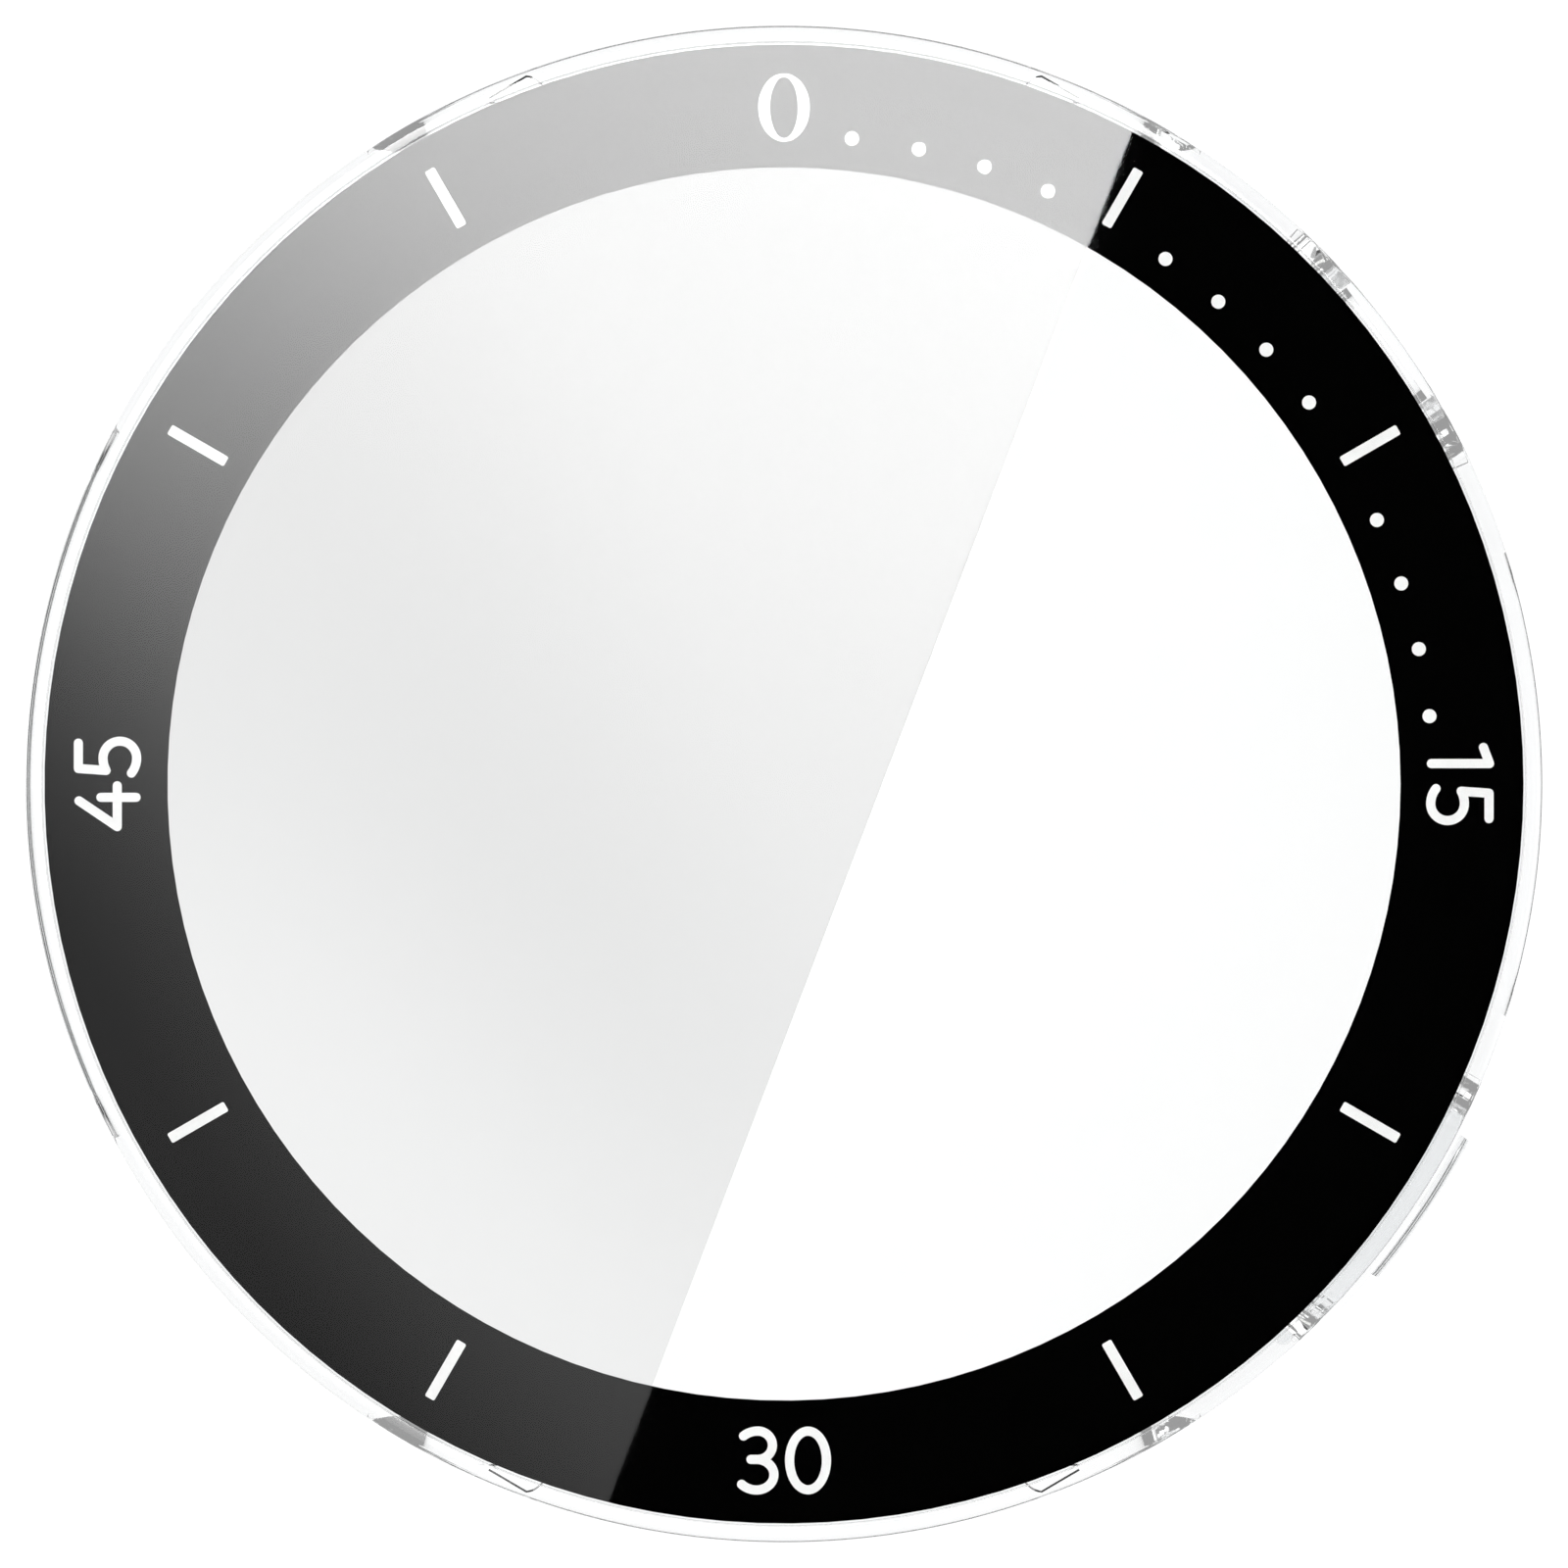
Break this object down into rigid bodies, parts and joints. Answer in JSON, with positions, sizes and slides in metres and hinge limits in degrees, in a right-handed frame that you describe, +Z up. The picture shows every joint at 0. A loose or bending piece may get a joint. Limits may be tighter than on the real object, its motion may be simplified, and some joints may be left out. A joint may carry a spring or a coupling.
{
  "type": "smartwatch bumper case",
  "caption": "Clear push-on bumper case for a round smartwatch, with a bonded cover glass and a black printed minute ring.",
  "frame": {"origin": "on the watch's axis, at the plane that the foot of the side wall stands on", "axes": "+Z up through the glass, +Y towards 12 o'clock, +X towards 3 o'clock"},
  "size_m": [0.0482, 0.0482, 0.0099],
  "materials": {
    "clear_case": "clear moulded polycarbonate, polished",
    "clear_glass": "clear tempered glass, polished",
    "adhesive": "clear pressure-sensitive film",
    "black_print": "black ink printed on the back of the glass",
    "white_print": "white ink printed on the back of the glass"
  },
  "bodies": {
    "case": {"case_shell": "clear_case", "cover_glass": "clear_glass", "glass_adhesive": "adhesive", "bezel_print": "black_print", "five_minute_bars": "white_print", "minute_dots": "white_print"},
    "button": {"button_lever": "clear_case"}
  },
  "joints": [
    {"name": "button_press", "type": "hinge", "parent": "case", "child": "button", "pos_m": [0.01582, -0.01745, 0.00465], "axis": [0, 0, 1], "range_deg": [0, 4], "stiffness_Nm_per_rad": 0.1}
  ]
}
